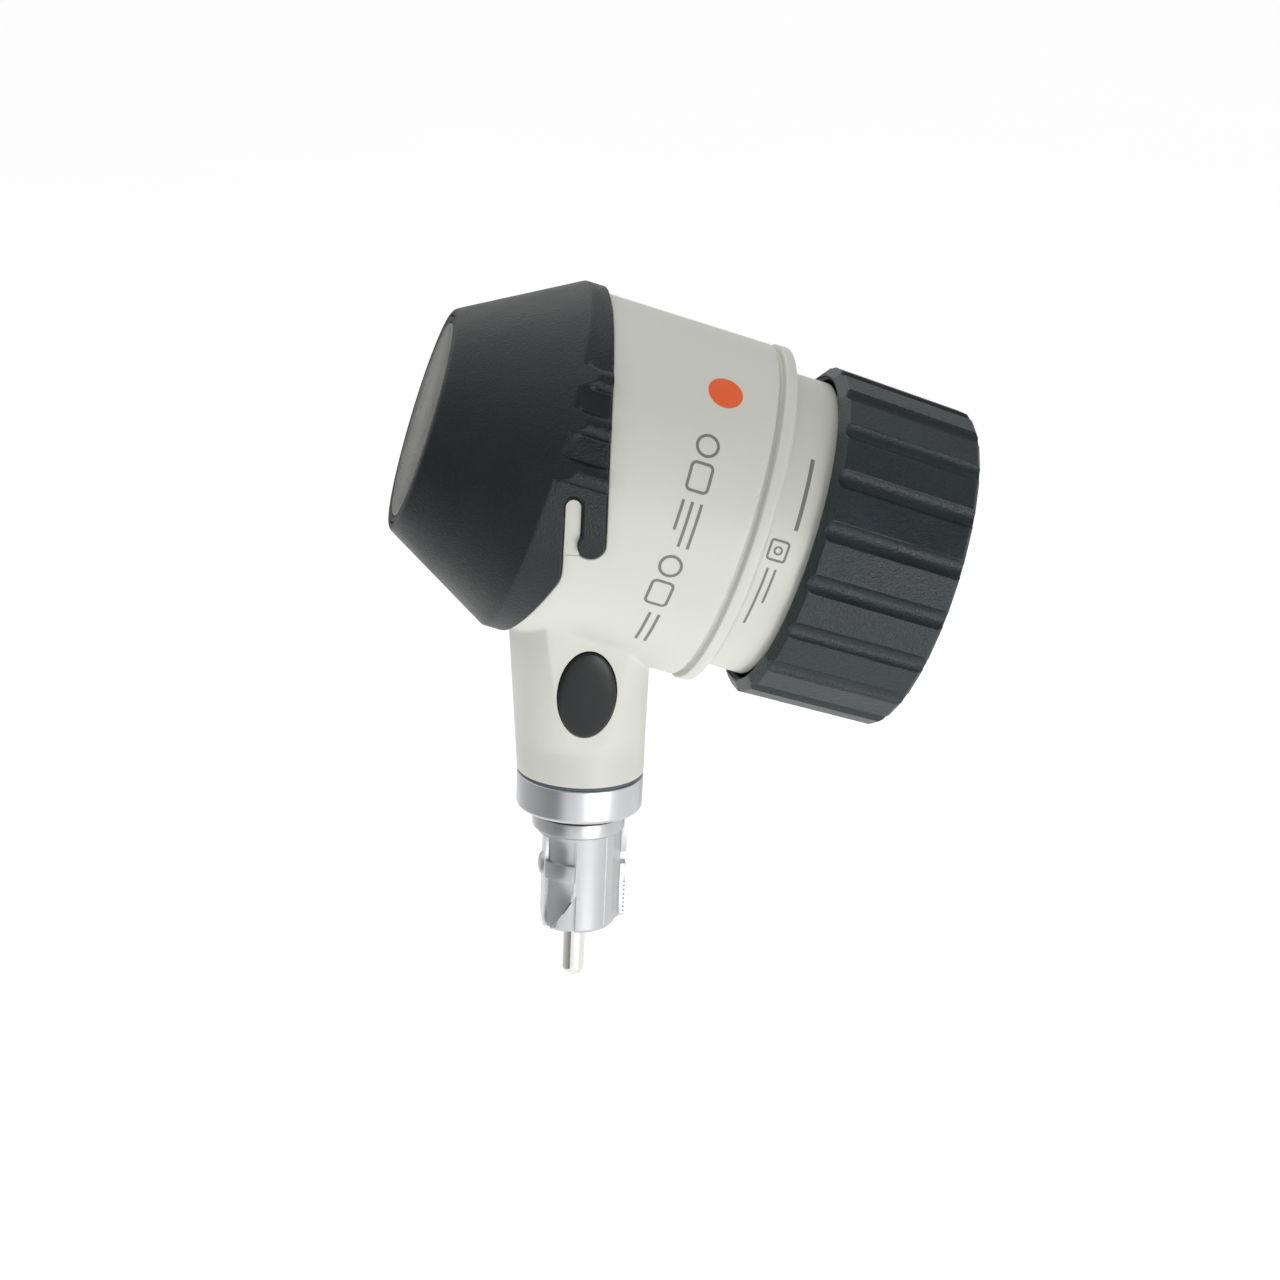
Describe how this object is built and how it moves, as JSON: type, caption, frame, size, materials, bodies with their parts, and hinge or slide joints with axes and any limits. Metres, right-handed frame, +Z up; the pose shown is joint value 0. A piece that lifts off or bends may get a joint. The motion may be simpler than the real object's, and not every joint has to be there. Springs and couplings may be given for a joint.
{
  "type": "dermatoscope optics head",
  "caption": "Hand-held skin magnifier head: conical contact cap, round housing with a ribbed focus ring, and a neck with a switch button and bayonet plug.",
  "frame": {"origin": "centre of the coupling ring's lower face, where the handle seats", "axes": "+Z up the neck away from the handle, -X towards the contact plate, +X towards the eyepiece, -Y towards the switch button"},
  "size_m": [0.0894, 0.0566, 0.1128],
  "materials": {
    "cap_plastic": "fine moulded grain, matte",
    "ring_plastic": "coarser moulded grain, matte",
    "housing_plastic": "satin, very fine grain",
    "button_plastic": "satin",
    "black_plastic": "matte",
    "white_plastic": "satin",
    "soft_rubber": "matte",
    "contact_glass": "polished, grey tint",
    "lens_glass": "coated, polished",
    "filter_film": "polished film",
    "black_anodised": "black anodised, satin",
    "turned_aluminium": "fine turned",
    "nickel_plate": "bright nickel",
    "brass": "turned",
    "steel": "plain",
    "circuit_board": "solder mask",
    "led_resin": "clear yellow resin",
    "red_insulation": "smooth"
  },
  "bodies": {
    "housing": {"body_shell_left": "housing_plastic", "body_shell_right": "housing_plastic", "front_bezel": "black_plastic", "polariser_ring": "filter_film", "led_reflector": "white_plastic", "led_board": "circuit_board", "baffle_tube": "black_plastic", "analyser_filter": "filter_film", "objective_cell": "black_anodised", "objective_lens": "lens_glass", "objective_retaining_ring": "black_anodised", "helicoid_sleeve": "turned_aluminium", "guide_pin": "steel", "neck_seal": "soft_rubber", "coupling_ring": "turned_aluminium", "bayonet_plug": "turned_aluminium", "plug_nut": "brass", "pin_insulator": "white_plastic", "contact_pin": "nickel_plate", "switch_board": "circuit_board", "tact_switch": "black_plastic", "switch_plunger": "white_plastic", "lead_positive": "red_insulation", "lead_negative": "black_plastic", "lead_pin": "red_insulation", "lead_ground": "black_plastic", "led_1": "led_resin", "led_2": "led_resin", "led_3": "led_resin", "led_4": "led_resin", "led_5": "led_resin", "led_6": "led_resin", "led_board_screw_1": "steel", "led_board_screw_2": "steel", "led_board_screw_3": "steel"},
    "cap": {"contact_cap": "cap_plastic", "contact_glass": "contact_glass", "glass_retaining_ring": "black_anodised"},
    "button": {"toggle_button": "button_plastic"},
    "carrier": {"lens_carrier": "black_anodised", "eyepiece_front_lens": "lens_glass", "lens_spacer": "black_anodised", "eyepiece_rear_lens": "lens_glass", "eyepiece_retaining_ring": "black_anodised"},
    "focus": {"focus_ring": "ring_plastic", "thread_insert": "brass", "eyecup": "soft_rubber"}
  },
  "joints": [
    {"name": "cap_lift", "type": "slide", "parent": "housing", "child": "cap", "axis": [0, 0, 1], "range_m": [0, 0.06]},
    {"name": "button_press", "type": "slide", "parent": "housing", "child": "button", "axis": [0, 0.9759, 0.2181], "range_m": [0, 0.001], "stiffness_N_per_m": 1200, "springref_m": -0.0005},
    {"name": "focus_slide", "type": "slide", "parent": "housing", "child": "carrier", "axis": [0.96, 0, -0.28], "range_m": [-0.004, 0.0015]},
    {"name": "focus_turn", "type": "hinge", "parent": "carrier", "child": "focus", "pos_m": [0, 0, 0.05443], "axis": [0.96, 0, -0.28], "range_deg": [-182, 69]}
  ],
  "couplings": [
    {"joint": "focus_turn", "follows": "focus_slide", "rad_per_m": 785.4}
  ]
}
